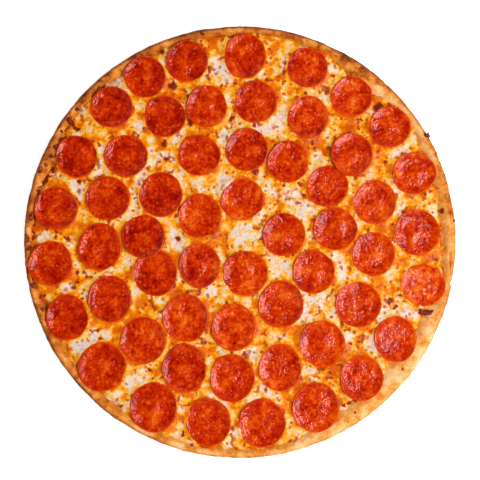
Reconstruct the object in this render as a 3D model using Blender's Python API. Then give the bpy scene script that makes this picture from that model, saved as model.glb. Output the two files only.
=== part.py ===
"""A large round pepperoni pizza: a baked crust, the melted cheese on it and its pepperoni slices.

Metres, +Z up. The underside lies on the plane z = 0, with the origin under the pizza's middle.
+Y is the side that is at the top when the pizza is seen from straight above, and +X is its right.
"""

import math
import random

import bmesh
import bpy
from mathutils import Vector, noise

MM = 0.001

# Driving dimensions
PIZZA_DIAMETER = 356 * MM
DOUGH_THICKNESS = 5 * MM
CHEESE_THICKNESS = 3.6 * MM
CHEESE_EDGE_THICKNESS = 1.2 * MM
RIM_WIDTH = 7.5 * MM
RIM_HEIGHT = 10.6 * MM
PEPPERONI_THICKNESS = 1.5 * MM
CLEARANCE = 0.3 * MM

# Where the bare rim is wider than RIM_WIDTH: (angle, extra width, half of the angle that it spans).
# Angles are in degrees, counter-clockwise from +X.
WIDE_RIM_STRETCHES = (
    (8, 4 * MM, 30),
    (52, 9 * MM, 16),
    (158, 2 * MM, 16),
    (220, 3 * MM, 28),
    (318, 12 * MM, 46),
)

# Where it is wider the rim is a little lower, its crest lies further in, and its inner slope stays
# flat for longer before it falls
RIM_RISE_PER_WIDTH = -0.05
CREST_INSET = 3.8 * MM
CREST_SHIFT_PER_WIDTH = 0.3
SLOPE_DELAY_PER_WIDTH = 0.04 / MM
RIM_LUMP_HEIGHT = 0.5 * MM
RIM_LUMP_LENGTH = 24 * MM
EDGE_WANDER = 1.1 * MM
EDGE_WANDER_LENGTH = 17 * MM

# The outside of the rim, from the flat underside up: (distance in from the outline, height)
OUTER_SIDE = (
    (4.5 * MM, 0.0),
    (1.3 * MM, 1.5 * MM),
    (0.0, 4.4 * MM),
    (0.5 * MM, 7.2 * MM),
)
SHOULDER_INSET = 1.9 * MM
SHOULDER_DROP = 1.2 * MM
SLOPE_FOOT = 4.5 * MM

# The crease at the right of the rim, where a lip of dough lies beside it, and the notch at its end
CREASE_START = (172.0 * MM, -9.0 * MM)
CREASE_END = (174.2 * MM, -33.5 * MM)
CREASE_WIDTH = 1.8 * MM
CREASE_DEPTH = 1.6 * MM
NOTCH_DEPTH = 1.8 * MM
NOTCH_WIDTH = 2.2 * MM

# Soft lumps in the melted cheese
CHEESE_LUMP_HEIGHT = 0.8 * MM
CHEESE_LUMP_LENGTH = 21 * MM
CHEESE_SHOULDER = 9 * MM

# How deep the slices lie in the cheese, and how far their curled edge stands above their middle
PEPPERONI_SINK = 0.8 * MM
PEPPERONI_CURL = 1.1 * MM
PEPPERONI_EDGE_SLOPE = 0.5 * MM
PEPPERONI_FLAT_SHARE = 0.62
PEPPERONI_WOBBLE = 0.008
POCKET_HEIGHT = 9 * MM

# The slices in rows from +Y to -Y, each row from left to right, in millimetres:
# x and y of the middle, size along X, size along Y
PEPPERONI = (
    (-43.5, 148.5, 34.0, 34.5),
    (4.0, 153.0, 33.5, 38.0),
    (55.5, 143.5, 33.0, 33.0),
    (-78.0, 135.5, 34.0, 34.0),
    (91.5, 119.5, 34.0, 33.0),
    (-105.5, 111.0, 35.5, 33.0),
    (-62.0, 103.0, 34.5, 34.0),
    (-27.5, 111.5, 33.5, 34.5),
    (13.0, 115.0, 34.5, 34.5),
    (56.0, 102.5, 33.5, 34.5),
    (123.0, 94.5, 34.0, 34.0),
    (-133.5, 70.5, 34.5, 34.5),
    (-93.5, 71.0, 35.5, 35.0),
    (-33.5, 71.5, 34.5, 34.0),
    (5.5, 76.0, 34.5, 35.5),
    (39.5, 66.0, 34.0, 34.5),
    (91.5, 72.0, 34.0, 35.5),
    (72.0, 46.0, 34.0, 34.5),
    (143.0, 56.5, 35.5, 34.5),
    (-151.0, 28.0, 35.0, 36.0),
    (-108.5, 36.0, 36.5, 36.5),
    (-65.0, 39.0, 35.5, 37.0),
    (-33.0, 21.5, 34.5, 37.0),
    (2.0, 35.0, 36.0, 34.0),
    (110.5, 33.0, 35.0, 36.0),
    (36.0, 6.0, 35.0, 35.5),
    (78.0, 11.0, 36.0, 35.0),
    (145.5, 8.0, 36.5, 38.0),
    (-115.0, -4.0, 36.0, 38.5),
    (-79.0, 4.5, 35.5, 35.5),
    (-69.5, -25.5, 36.0, 37.5),
    (-155.5, -17.5, 36.0, 36.5),
    (-33.0, -19.0, 33.5, 37.0),
    (4.5, -25.5, 37.0, 37.0),
    (60.5, -24.0, 34.5, 36.5),
    (109.5, -9.5, 35.5, 36.0),
    (150.5, -35.5, 36.0, 34.5),
    (-141.5, -62.0, 34.5, 38.0),
    (-106.5, -46.5, 35.5, 38.5),
    (-45.0, -62.0, 38.5, 38.5),
    (-5.0, -70.0, 36.5, 38.5),
    (33.5, -51.0, 37.5, 38.5),
    (97.0, -51.0, 37.0, 38.0),
    (128.0, -79.5, 35.5, 37.0),
    (-113.0, -102.5, 39.5, 40.5),
    (-79.5, -80.5, 38.0, 39.0),
    (-45.5, -103.5, 36.5, 40.5),
    (-6.5, -111.5, 36.5, 40.0),
    (33.0, -103.0, 35.5, 38.5),
    (67.5, -83.5, 37.5, 38.5),
    (100.0, -111.5, 35.0, 38.0),
    (-71.0, -135.5, 39.0, 41.0),
    (-26.0, -147.5, 37.0, 39.5),
    (18.0, -148.5, 38.0, 41.0),
    (62.0, -135.5, 38.5, 41.0),
)

# Slices that lie over the edge of a neighbour: number of the upper one, number of the lower one,
# and how far the upper one's edge is raised there
LAPPED = (
    (17, 18, 3.3 * MM),
    (30, 31, 3.8 * MM),
)

# How finely round things are divided
RIM_SEGMENTS = 90
CHEESE_RINGS = RIM_SEGMENTS // 6
SLICE_SEGMENTS = 16

CRUST_COLOUR = (0.64, 0.33, 0.11)
CHEESE_COLOUR = (0.85, 0.56, 0.24)
PEPPERONI_COLOUR = (0.48, 0.035, 0.012)

RADIUS = PIZZA_DIAMETER / 2
CHEESE_FLOOR = DOUGH_THICKNESS + CLEARANCE
CHEESE_TOP = CHEESE_FLOOR + CHEESE_THICKNESS


def clear_scene():
    for obj in list(bpy.data.objects):
        bpy.data.objects.remove(obj, do_unlink=True)


def make_material(name, colour, roughness):
    material = bpy.data.materials.new(name)
    material.use_nodes = True
    shader = material.node_tree.nodes["Principled BSDF"]
    shader.inputs["Base Color"].default_value = (*colour, 1.0)
    shader.inputs["Roughness"].default_value = roughness
    shader.inputs["Metallic"].default_value = 0.0
    return material


def make_object(name, points, faces, material):
    """A closed mesh object of these points and faces, with its faces turned outward."""
    mesh = bpy.data.meshes.new(name)
    mesh.from_pydata(points, [], faces)
    shape = bmesh.new()
    shape.from_mesh(mesh)
    bmesh.ops.recalc_face_normals(shape, faces=shape.faces)
    shape.to_mesh(mesh)
    shape.free()
    mesh.materials.append(material)
    obj = bpy.data.objects.new(name, mesh)
    bpy.context.scene.collection.objects.link(obj)
    return obj


def shade_round(obj, sharp_angle):
    obj.data.shade_smooth()
    obj.data.set_sharp_from_angle(angle=math.radians(sharp_angle))


# The form of the pizza at any angle round it


def polar(distance, angle, height):
    turn = math.radians(angle)
    return Vector((distance * math.cos(turn), distance * math.sin(turn), height))


def swell(angle, middle, half_span):
    """Rises smoothly from 0 to 1 at the middle angle and falls to 0 again half_span beyond it."""
    away = abs((angle - middle + 180) % 360 - 180)
    if away >= half_span:
        return 0.0
    return 0.5 + 0.5 * math.cos(math.pi * away / half_span)


def rim_width(angle):
    """Width of the bare rim, from the outline in to the edge of the cheese."""
    width = RIM_WIDTH
    for middle, extra, half_span in WIDE_RIM_STRETCHES:
        width += extra * swell(angle, middle, half_span)
    place = polar(RADIUS / EDGE_WANDER_LENGTH, angle, 0.0)
    return width + EDGE_WANDER * noise.noise(place)


def crest_inset(angle):
    return CREST_INSET + CREST_SHIFT_PER_WIDTH * (rim_width(angle) - RIM_WIDTH)


def crest_height(angle):
    rise = RIM_RISE_PER_WIDTH * (rim_width(angle) - RIM_WIDTH)
    place = polar(RADIUS / RIM_LUMP_LENGTH, angle, 3.0)
    return RIM_HEIGHT + rise + RIM_LUMP_HEIGHT * noise.noise(place)


def crust_height(inset, angle):
    """Top of the crust from the crest inward: an eased slope down to the flat dough."""
    crest = crest_inset(angle)
    foot = rim_width(angle) + SLOPE_FOOT
    share = min(max((inset - crest) / (foot - crest), 0.0), 1.0)
    delay = 1 + SLOPE_DELAY_PER_WIDTH * (rim_width(angle) - RIM_WIDTH)
    fall = 0.5 + 0.5 * math.cos(math.pi * share ** delay)
    return DOUGH_THICKNESS + (crest_height(angle) - DOUGH_THICKNESS) * fall


def cheese_height(inset, angle):
    """Top of the cheese without its lumps, from its thin edge inward to its full thickness."""
    width = rim_width(angle)
    edge = crust_height(width, angle) + CLEARANCE + CHEESE_EDGE_THICKNESS
    share = min(max((inset - width) / CHEESE_SHOULDER, 0.0), 1.0)
    return edge + (CHEESE_TOP - edge) * math.sin(share * math.pi / 2)


def pizza_height(x, y):
    """Height of the pizza's top at a place, with neither its lumps nor its slices."""
    inset = RADIUS - math.hypot(x, y)
    angle = math.degrees(math.atan2(y, x))
    if inset < rim_width(angle):
        return crust_height(inset, angle)
    return cheese_height(inset, angle)


# The crust


def crust_section(angle):
    """Half of the crust's section as (inset, height), from the underside round to the dough's top."""
    crest = crest_inset(angle)
    width = rim_width(angle)
    height = crest_height(angle)
    halfway = (crest + width) / 2
    section = list(OUTER_SIDE)
    section.append((SHOULDER_INSET, height - SHOULDER_DROP))
    section.append((crest, height))
    section.append((halfway, crust_height(halfway, angle)))
    section.append((width, crust_height(width, angle)))
    section.append((width + SLOPE_FOOT, DOUGH_THICKNESS))
    return section


def ring_angles(count):
    return [360 * step / count for step in range(count)]


def strip_triangles(inner, outer, count):
    """Triangles between two rings of equal count, given the index of each ring's first point."""
    faces = []
    for step in range(count):
        after = (step + 1) % count
        faces.append((inner + step, outer + step, outer + after))
        faces.append((inner + step, outer + after, inner + after))
    return faces


def make_crust(material):
    sections = [crust_section(angle) for angle in ring_angles(RIM_SEGMENTS)]
    rings = len(sections[0])
    points = []
    for ring in range(rings):
        for angle, section in zip(ring_angles(RIM_SEGMENTS), sections):
            inset, height = section[ring]
            points.append(polar(RADIUS - inset, angle, height))
    faces = [tuple(range(RIM_SEGMENTS))]
    for ring in range(1, rings):
        first = ring * RIM_SEGMENTS
        faces += strip_triangles(first, first - RIM_SEGMENTS, RIM_SEGMENTS)
    faces.append(tuple(range((rings - 1) * RIM_SEGMENTS, rings * RIM_SEGMENTS)))
    return make_object("crust", points, faces, material)


def make_crease_cutter(material):
    """A long wedge, point down, that presses the crease into the rim."""
    start = Vector((*CREASE_START, 0.0))
    end = Vector((*CREASE_END, 0.0))
    side = (end - start).normalized().cross(Vector((0.0, 0.0, 1.0))) * CREASE_WIDTH
    points = []
    for place in (start, end):
        angle = math.degrees(math.atan2(place.y, place.x))
        floor = crust_height(RADIUS - place.length, angle) - CREASE_DEPTH
        points.append(place + Vector((0.0, 0.0, floor)))
        for sign in (-1, 1):
            points.append(place + side * sign + Vector((0.0, 0.0, floor + 2 * CREASE_DEPTH)))
    faces = [(0, 1, 2), (3, 4, 5), (0, 1, 4, 3), (1, 2, 5, 4), (2, 0, 3, 5)]
    return make_object("crease_cutter", points, faces, material)


def make_notch_cutter(material):
    """A standing wedge that nicks the outline where the crease ends."""
    angle = math.degrees(math.atan2(CREASE_END[1], CREASE_END[0]))
    half_angle = math.degrees(NOTCH_WIDTH / RADIUS)
    points = []
    for height in (-CLEARANCE, 2 * RIM_HEIGHT):
        points.append(polar(RADIUS - NOTCH_DEPTH, angle, height))
        points.append(polar(RADIUS + NOTCH_DEPTH, angle - half_angle, height))
        points.append(polar(RADIUS + NOTCH_DEPTH, angle + half_angle, height))
    faces = [(0, 1, 2), (3, 4, 5), (0, 1, 4, 3), (1, 2, 5, 4), (2, 0, 3, 5)]
    return make_object("notch_cutter", points, faces, material)


# The cheese


def cheese_lump(place):
    """Height of the lumps at a place, none at all where the cheese is thin."""
    inset = RADIUS - math.hypot(place.x, place.y)
    angle = math.degrees(math.atan2(place.y, place.x))
    share = min(max((inset - rim_width(angle)) / CHEESE_SHOULDER, 0.0), 1.0)
    spot = Vector((place.x, place.y, 0.0)) / CHEESE_LUMP_LENGTH
    return CHEESE_LUMP_HEIGHT * share * noise.noise(spot)


def cheese_top_points():
    """The middle point, then rings of 6, 12, 18 and more points, the last of them on the edge."""
    points = [Vector((0.0, 0.0, CHEESE_TOP))]
    for ring in range(1, CHEESE_RINGS + 1):
        for angle in ring_angles(6 * ring):
            reach = RADIUS - rim_width(angle)
            distance = reach * ring / CHEESE_RINGS
            height = cheese_height(RADIUS - distance, angle)
            points.append(polar(distance, angle, height))
    for point in points:
        point.z += cheese_lump(point)
    return points


def cheese_top_triangles():
    """Six equal sectors of triangles, in which each ring has one more step than the ring inside it."""
    faces = []
    for ring in range(1, CHEESE_RINGS + 1):
        outer = 1 + 3 * ring * (ring - 1)
        inner = 1 + 3 * (ring - 1) * (ring - 2)
        outer_count = 6 * ring
        inner_count = max(6 * (ring - 1), 1)
        for sector in range(6):
            for step in range(ring):
                here = sector * ring + step
                after = (here + 1) % outer_count
                below = (sector * (ring - 1) + step) % inner_count
                if ring == 1:
                    faces.append((0, outer + here, outer + after))
                    continue
                faces.append((inner + below, outer + here, outer + after))
                if step < ring - 1:
                    beside = (below + 1) % inner_count
                    faces.append((inner + below, outer + after, inner + beside))
    return faces


def make_cheese(material):
    points = cheese_top_points()
    faces = cheese_top_triangles()
    edge = len(points) - RIM_SEGMENTS
    lip = len(points)
    for angle in ring_angles(RIM_SEGMENTS):
        width = rim_width(angle)
        height = crust_height(width, angle) + CLEARANCE
        points.append(polar(RADIUS - width, angle, height))
    floor = len(points)
    for angle in ring_angles(RIM_SEGMENTS):
        distance = RADIUS - rim_width(angle) - SLOPE_FOOT
        points.append(polar(distance, angle, CHEESE_FLOOR))
    faces += strip_triangles(edge, lip, RIM_SEGMENTS)
    faces += strip_triangles(floor, lip, RIM_SEGMENTS)
    faces.append(tuple(range(floor, floor + RIM_SEGMENTS)))
    return make_object("cheese", points, faces, material)


# The pepperoni


def resting_plane(x, y, reach):
    """Height and slope of the plane that fits the pizza's top best under a slice."""
    samples = [(0.0, 0.0)]
    for share in (0.5, 0.95):
        for angle in ring_angles(SLICE_SEGMENTS):
            place = polar(reach * share, angle, 0.0)
            samples.append((place.x, place.y))
    heights = [pizza_height(x + across, y + along) for across, along in samples]
    spread = sum(across * across for across, along in samples)
    slope_x = sum(across * z for (across, along), z in zip(samples, heights)) / spread
    slope_y = sum(along * z for (across, along), z in zip(samples, heights)) / spread
    return sum(heights) / len(heights), slope_x, slope_y


def slice_pose(number):
    """Where a slice's underside lies: the place of its middle and the turn of its axis."""
    x, y, across, along = (value * MM for value in PEPPERONI[number - 1])
    reach = (across + along) / 4
    height, slope_x, slope_y = resting_plane(x, y, reach)
    height -= PEPPERONI_SINK
    for upper, lower, rise in LAPPED:
        if upper == number:
            other = Vector((PEPPERONI[lower - 1][0] * MM - x, PEPPERONI[lower - 1][1] * MM - y))
            toward = other.normalized()
            height += rise / 2
            slope_x += toward.x * rise / (2 * reach)
            slope_y += toward.y * rise / (2 * reach)
    axis = Vector((-slope_x, -slope_y, 1.0)).normalized()
    upright = Vector((0.0, 0.0, 1.0))
    return Vector((x, y, height)), upright.rotation_difference(axis).to_euler()


def slice_ring(number, scale, growth, height, draws):
    """One ring of a slice: an oval of the slice's size with a slight wobble."""
    across, along = (value * MM / 2 for value in PEPPERONI[number - 1][2:])
    points = []
    for angle in ring_angles(SLICE_SEGMENTS):
        turn = math.radians(angle)
        wobble = 1 + PEPPERONI_WOBBLE * math.cos(2 * turn + draws[0])
        wobble += PEPPERONI_WOBBLE * math.cos(3 * turn + draws[1])
        x = (across * scale * wobble + growth) * math.cos(turn)
        y = (along * scale * wobble + growth) * math.sin(turn)
        points.append(Vector((x, y, height)))
    return points


def stack_rings(name, rings, material):
    """A closed shape from rings of points, the first and the last of them filled."""
    count = len(rings[0])
    points = [point for ring in rings for point in ring]
    faces = [tuple(range(count))]
    for index in range(1, len(rings)):
        first = index * count
        faces += strip_triangles(first, first - count, count)
    faces.append(tuple(range(len(points) - count, len(points))))
    return make_object(name, points, faces, material)


def make_slice(number, material):
    """A slice with a flat underside, upright sides and an edge that stands above its middle."""
    draws = slice_draws(number)
    edge_scale = 1 - PEPPERONI_EDGE_SLOPE / (PEPPERONI[number - 1][2] * MM / 2)
    crest = PEPPERONI_THICKNESS + PEPPERONI_CURL
    rings = [
        slice_ring(number, 1.0, 0.0, 0.0, draws),
        slice_ring(number, edge_scale, 0.0, crest, draws),
        slice_ring(number, PEPPERONI_FLAT_SHARE, 0.0, PEPPERONI_THICKNESS, draws),
    ]
    obj = stack_rings(f"pepperoni_{number:02d}", rings, material)
    obj.location, obj.rotation_euler = slice_pose(number)
    shade_round(obj, 35)
    return obj


def make_pocket_cutter(number, material):
    """What a slice takes out of the cheese: its own outline with a clearance all round."""
    draws = slice_draws(number)
    rings = [
        slice_ring(number, 1.0, CLEARANCE, -CLEARANCE, draws),
        slice_ring(number, 1.0, CLEARANCE, POCKET_HEIGHT, draws),
    ]
    obj = stack_rings(f"pocket_cutter_{number:02d}", rings, material)
    obj.location, obj.rotation_euler = slice_pose(number)
    return obj


def slice_draws(number):
    draw = random.Random(number)
    return draw.uniform(0, 2 * math.pi), draw.uniform(0, 2 * math.pi)


# Cutting


def gather(name, objects):
    """Moves the cutters into a collection of their own and keeps them out of any render."""
    collection = bpy.data.collections.new(name)
    bpy.context.scene.collection.children.link(collection)
    for obj in objects:
        bpy.context.scene.collection.objects.unlink(obj)
        collection.objects.link(obj)
        obj.hide_render = True
        obj.display_type = "WIRE"
    return collection


def cut(obj, collection):
    """Takes everything in the collection out of the object, for good."""
    modifier = obj.modifiers.new("pockets", "BOOLEAN")
    modifier.operation = "DIFFERENCE"
    modifier.operand_type = "COLLECTION"
    modifier.collection = collection
    modifier.solver = "EXACT"
    view = bpy.context.evaluated_depsgraph_get()
    mesh = bpy.data.meshes.new_from_object(obj.evaluated_get(view))
    obj.modifiers.remove(modifier)
    obj.data = mesh


def drop_scraps(obj):
    """Keeps the largest body of the mesh, so that no loose scrap of cheese is left at an edge."""
    shape = bmesh.new()
    shape.from_mesh(obj.data)
    left = set(shape.verts)
    bodies = []
    while left:
        body = {left.pop()}
        front = list(body)
        while front:
            for edge in front.pop().link_edges:
                for vert in edge.verts:
                    if vert in left:
                        left.discard(vert)
                        body.add(vert)
                        front.append(vert)
        bodies.append(body)
    bodies.sort(key=len)
    for body in bodies[:-1]:
        bmesh.ops.delete(shape, geom=list(body), context="VERTS")
    shape.to_mesh(obj.data)
    shape.free()


def main():
    clear_scene()
    crust_material = make_material("baked_crust", CRUST_COLOUR, 0.75)
    cheese_material = make_material("melted_cheese", CHEESE_COLOUR, 0.4)
    pepperoni_material = make_material("pepperoni", PEPPERONI_COLOUR, 0.35)

    crust = make_crust(crust_material)
    cheese = make_cheese(cheese_material)
    numbers = range(1, len(PEPPERONI) + 1)
    pocket_cutters = [make_pocket_cutter(number, cheese_material) for number in numbers]
    rim_cutters = [make_crease_cutter(crust_material), make_notch_cutter(crust_material)]
    pockets = gather("pocket_cutters", pocket_cutters)
    marks = gather("rim_cutters", rim_cutters)
    cut(cheese, pockets)
    cut(crust, pockets)
    cut(crust, marks)
    drop_scraps(cheese)
    drop_scraps(crust)
    for cutter in pocket_cutters + rim_cutters:
        bpy.data.objects.remove(cutter, do_unlink=True)
    shade_round(crust, 40)
    shade_round(cheese, 30)
    for number in numbers:
        make_slice(number, pepperoni_material)


main()
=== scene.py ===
# %% [markdown]
# # A whole pepperoni pizza, seen from straight above
#
# The pizza is three kinds of piece: a baked crust, the cheese that has melted over it, and the
# pepperoni slices that lie in the cheese. Their plain solids are already packed, at their real
# size and place. This script dresses each one with a finely modelled piece of the same form.
#
# Everything could be painted onto the plain solids, but food is judged by its relief: blisters,
# oily dimples and curled edges catch the light. So each piece gets real geometry for whatever is
# larger than about a millimetre, and its material adds only what is finer.

import itertools
import math

import bpy
import numpy as np
from mathutils import Matrix, Vector, noise


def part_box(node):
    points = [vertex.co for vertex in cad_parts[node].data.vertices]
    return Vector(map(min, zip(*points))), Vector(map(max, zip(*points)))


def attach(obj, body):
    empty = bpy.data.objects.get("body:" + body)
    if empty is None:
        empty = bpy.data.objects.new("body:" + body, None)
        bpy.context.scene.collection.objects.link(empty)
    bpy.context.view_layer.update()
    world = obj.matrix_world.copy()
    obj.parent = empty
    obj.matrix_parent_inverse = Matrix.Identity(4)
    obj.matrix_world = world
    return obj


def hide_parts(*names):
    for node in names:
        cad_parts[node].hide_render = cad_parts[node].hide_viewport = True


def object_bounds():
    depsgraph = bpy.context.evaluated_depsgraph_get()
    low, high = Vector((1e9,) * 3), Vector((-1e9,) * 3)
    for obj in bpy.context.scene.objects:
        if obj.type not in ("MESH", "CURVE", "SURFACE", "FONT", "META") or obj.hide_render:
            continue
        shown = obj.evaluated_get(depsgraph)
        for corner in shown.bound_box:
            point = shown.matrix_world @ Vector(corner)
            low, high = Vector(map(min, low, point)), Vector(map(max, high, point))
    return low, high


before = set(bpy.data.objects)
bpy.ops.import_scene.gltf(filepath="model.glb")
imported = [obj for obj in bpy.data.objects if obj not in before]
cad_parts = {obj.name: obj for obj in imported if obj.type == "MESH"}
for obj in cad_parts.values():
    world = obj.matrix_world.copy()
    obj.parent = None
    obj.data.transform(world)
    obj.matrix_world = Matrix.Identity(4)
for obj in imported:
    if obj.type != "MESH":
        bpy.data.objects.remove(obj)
solid_low, solid_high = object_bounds()
MM = 0.001
RADIUS = (solid_high[0] - solid_low[0]) / 2
SLICE_NAMES = sorted(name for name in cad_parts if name.startswith("pepperoni_"))
print(f"pizza {2 * RADIUS / MM:.1f} mm across with {len(SLICE_NAMES)} slices")

# %% [markdown]
# ## The camera
#
# The photograph looks straight down with the pizza filling nine tenths of a square picture. A long
# lens from about a metre away keeps the rim from hiding itself, which a wide lens close by would
# not. The distance follows from how wide the pizza is in the picture.

# %% Place the camera straight above
PICTURE_WIDTH = 480
PIZZA_WIDTH_IN_PICTURE = 431.8
PIZZA_MIDDLE_IN_PICTURE = (239.9, 242.2)
LENS = 85
SENSOR = 36
OUTLINE_HEIGHT = 6 * MM

picture_scale = 2 * RADIUS / PIZZA_WIDTH_IN_PICTURE
camera_distance = picture_scale * PICTURE_WIDTH * LENS / SENSOR
camera_data = bpy.data.cameras.new("camera")
camera_data.lens = LENS
camera_data.sensor_width = SENSOR
camera = bpy.data.objects.new("camera", camera_data)
camera.location = (
    (PICTURE_WIDTH / 2 - PIZZA_MIDDLE_IN_PICTURE[0]) * picture_scale,
    (PIZZA_MIDDLE_IN_PICTURE[1] - PICTURE_WIDTH / 2) * picture_scale,
    OUTLINE_HEIGHT + camera_distance,
)
bpy.context.scene.collection.objects.link(camera)
bpy.context.scene.camera = camera
print(f"camera {camera_distance:.3f} m above, {picture_scale / MM:.4f} mm to a pixel")

# %% [markdown]
# ## Random hills
#
# Melted cheese and baked dough are irregular at every size. The simplest way to get that is value
# noise: a random number at each corner of a grid, blended smoothly in between. Written for whole
# arrays at once it handles a hundred thousand points in a moment, and a seed keeps every run equal.

# %% A field of smooth random hills
def corner_values(corners, seed):
    """A repeatable number from -1 to 1 for each corner of an endless grid."""
    mixed = corners[:, 0] * 73856093 ^ corners[:, 1] * 19349663 ^ corners[:, 2] * 83492791
    mixed = (mixed + seed * 1013904223) * 1274126177
    mixed = (mixed ^ (mixed >> 15)) * 2246822519
    return ((mixed ^ (mixed >> 13)) & 0xFFFF) / 32767.5 - 1


def hills(places, length, seed):
    """Smooth hills about this long, from -1 to 1, at an array of places."""
    scaled = places / length
    low = np.floor(scaled).astype(np.int64)
    share = scaled - low
    share = share * share * (3 - 2 * share)
    total = np.zeros(len(places))
    for corner in itertools.product((0, 1), repeat=3):
        weight = np.prod(np.where(corner, share, 1 - share), axis=1)
        total += weight * corner_values(low + np.array(corner), seed)
    return total


def relief(places, *rows):
    """A sum of hills, each row giving a height, a length in mm and a seed."""
    return sum(height * hills(places, length * MM, seed) for height, length, seed in rows)


def ease(values, low, high):
    """Rises smoothly from 0 at low to 1 at high."""
    share = np.clip((values - low) / (high - low), 0, 1)
    return share * share * (3 - 2 * share)


def bell(values, middle, width):
    """1 at the middle and falling away on both sides of it."""
    return np.exp(-(((values - middle) / width) ** 2))


def fading(values, reach):
    """1 at 0 and below, and falling away above it over about this reach."""
    return np.exp(-np.clip(values, 0, None) / reach)


def away_from(places, x, y):
    """Distance from each place to x and y, seen from above."""
    return np.hypot(places[:, 0] - x, places[:, 1] - y)


def spots(places, rows):
    """The largest of many round swells, each row giving x, y and reach in mm, and a height."""
    total = np.zeros(len(places))
    for x, y, reach, height in rows:
        total = np.maximum(total, height * bell(away_from(places, x * MM, y * MM), 0, reach * MM))
    return total


sample = np.random.default_rng(1).uniform(0, 1, (5000, 3))
print(f"hills run from {hills(sample, 0.02, 1).min():.2f} to {hills(sample, 0.02, 1).max():.2f}")

# %% [markdown]
# ## Meshes from rings
#
# A crust and a slice are both stacks of closed rings, so one helper can join any grid of rings into
# a closed mesh, with a flat cap on the first and the last. Lathe or screw modifiers do the same for
# a shape that is equal all round, but nothing on a pizza is.

# %% Helpers that make a piece of the pizza
def make_piece(name, points, faces, node_names, marks):
    """A mesh piece that rides on the pizza, stands for its nodes and carries numbers at its points."""
    mesh = bpy.data.meshes.new(name)
    mesh.from_pydata(points.tolist(), [], faces)
    for mark, values in marks.items():
        layer = mesh.attributes.new(mark, "FLOAT", "POINT")
        layer.data.foreach_set("value", values.astype(np.float32))
    mesh.shade_smooth()
    piece = bpy.data.objects.new(name, mesh)
    bpy.context.scene.collection.objects.link(piece)
    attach(piece, "root")
    if node_names:
        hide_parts(*node_names)
    return piece


def ring_faces(rings, count, first=0):
    """Quads between rings of equal count, and a cap on the first ring and on the last."""
    step = np.arange(count)
    after = (step + 1) % count
    faces = [tuple(range(first + count - 1, first - 1, -1))]
    for ring in range(rings - 1):
        low = first + ring * count
        high = low + count
        faces += np.stack([low + step, low + after, high + after, high + step], axis=1).tolist()
    faces.append(tuple(range(first + (rings - 1) * count, first + rings * count)))
    return faces


def grid_normals(grid):
    """The outward direction at each point of a grid of rings."""
    along = np.gradient(grid, axis=0)
    around = np.roll(grid, -1, axis=1) - np.roll(grid, 1, axis=1)
    normals = np.cross(around, along)
    return normals / np.maximum(np.linalg.norm(normals, axis=2, keepdims=True), 1e-12)


print("mesh helpers ready")

# %% [markdown]
# ## The plan of the rim
#
# The rim isn't equal all round. It is barely 8 mm wide at the upper left, where the slices reach
# almost to the edge, and about 20 mm wide at the lower right, where it is also a little flatter.
# These are the same stretches that the crust's solid has, so the dressed crust fits it.

# %% Width, crest and slope of the rim at any angle
RIM_WIDTH = 7.5 * MM
RIM_HEIGHT = 10.6 * MM
DOUGH_THICKNESS = 5 * MM
CREST_INSET = 3.8 * MM
SLOPE_FOOT = 4.5 * MM
# For each unit of extra width the rim sinks, its crest moves inward and its slope gets fuller
SINK = 0.05
CREST_SHIFT = 0.3
SLOPE_FULLNESS = 0.94
EXTRA_FULLNESS = 0.04 / MM
# Middle of a wider stretch in degrees, extra width in mm, and half of the angle that it spans
WIDE_STRETCHES = ((8, 4, 30), (52, 9, 16), (158, 2, 16), (220, 3, 28), (318, 12, 46))

table_angles = np.arange(0, 360, 0.5)
table_widths = np.full(len(table_angles), RIM_WIDTH)
for middle, extra, half_span in WIDE_STRETCHES:
    away = np.abs((table_angles - middle + 180) % 360 - 180)
    swell = np.where(away < half_span, 0.5 + 0.5 * np.cos(np.pi * away / half_span), 0)
    table_widths += extra * MM * swell


def around_rim(length, height):
    """Random hills of this length along the rim, one value for each angle of the table."""
    reach = RADIUS / length
    turns = np.radians(table_angles)
    places = [Vector((reach * math.cos(t), reach * math.sin(t), height)) for t in turns]
    return np.array([noise.noise(place) for place in places])


table_widths += 1.1 * MM * around_rim(17 * MM, 0.0)
table_heights = RIM_HEIGHT - SINK * (table_widths - RIM_WIDTH) + 0.5 * MM * around_rim(24 * MM, 3.0)


def rim_width(angles):
    return np.interp(angles, table_angles, table_widths, period=360)


def crest_inset(angles):
    return CREST_INSET + CREST_SHIFT * (rim_width(angles) - RIM_WIDTH)


def crest_height(angles):
    return np.interp(angles, table_angles, table_heights, period=360)


def crust_height(insets, angles):
    """Top of the dough from the crest inward, an eased slope down to the flat middle."""
    crest = crest_inset(angles)
    foot = rim_width(angles) + SLOPE_FOOT
    share = np.clip((insets - crest) / (foot - crest), 0, 1)
    fullness = SLOPE_FULLNESS + EXTRA_FULLNESS * (rim_width(angles) - RIM_WIDTH)
    fall = 0.5 + 0.5 * np.cos(np.pi * share ** fullness)
    return DOUGH_THICKNESS + (crest_height(angles) - DOUGH_THICKNESS) * fall


print(f"rim {table_widths.min() / MM:.1f} to {table_widths.max() / MM:.1f} mm wide")

# %% [markdown]
# ## The crust's shape
#
# In section the crust is a flat underside, a round outer side, a crest and a slope down under the
# cheese. It is made as a grid: one ring for each step of that section, and each ring has 960 points.
# A fine grid lets every point move a little along its own normal, which gives the lumps of the
# dough. The flat underside has rings too, so that its browning can vary from place to place.
# Sculpting would do it by hand, but noise and a few placed swells can be repeated exactly.

# %% The crust's section, ring by ring
CRUST_POINTS = 960
UNDERSIDE_STEPS = 12
LOWER_SIDE_STEPS = 9
UPPER_SIDE_STEPS = 14
SLOPE_STEPS = 26
INNERMOST_INSET = 0.97 * RADIUS
UNDERSIDE_INSET = 4.5 * MM
WIDEST_HEIGHT = 4.4 * MM

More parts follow.
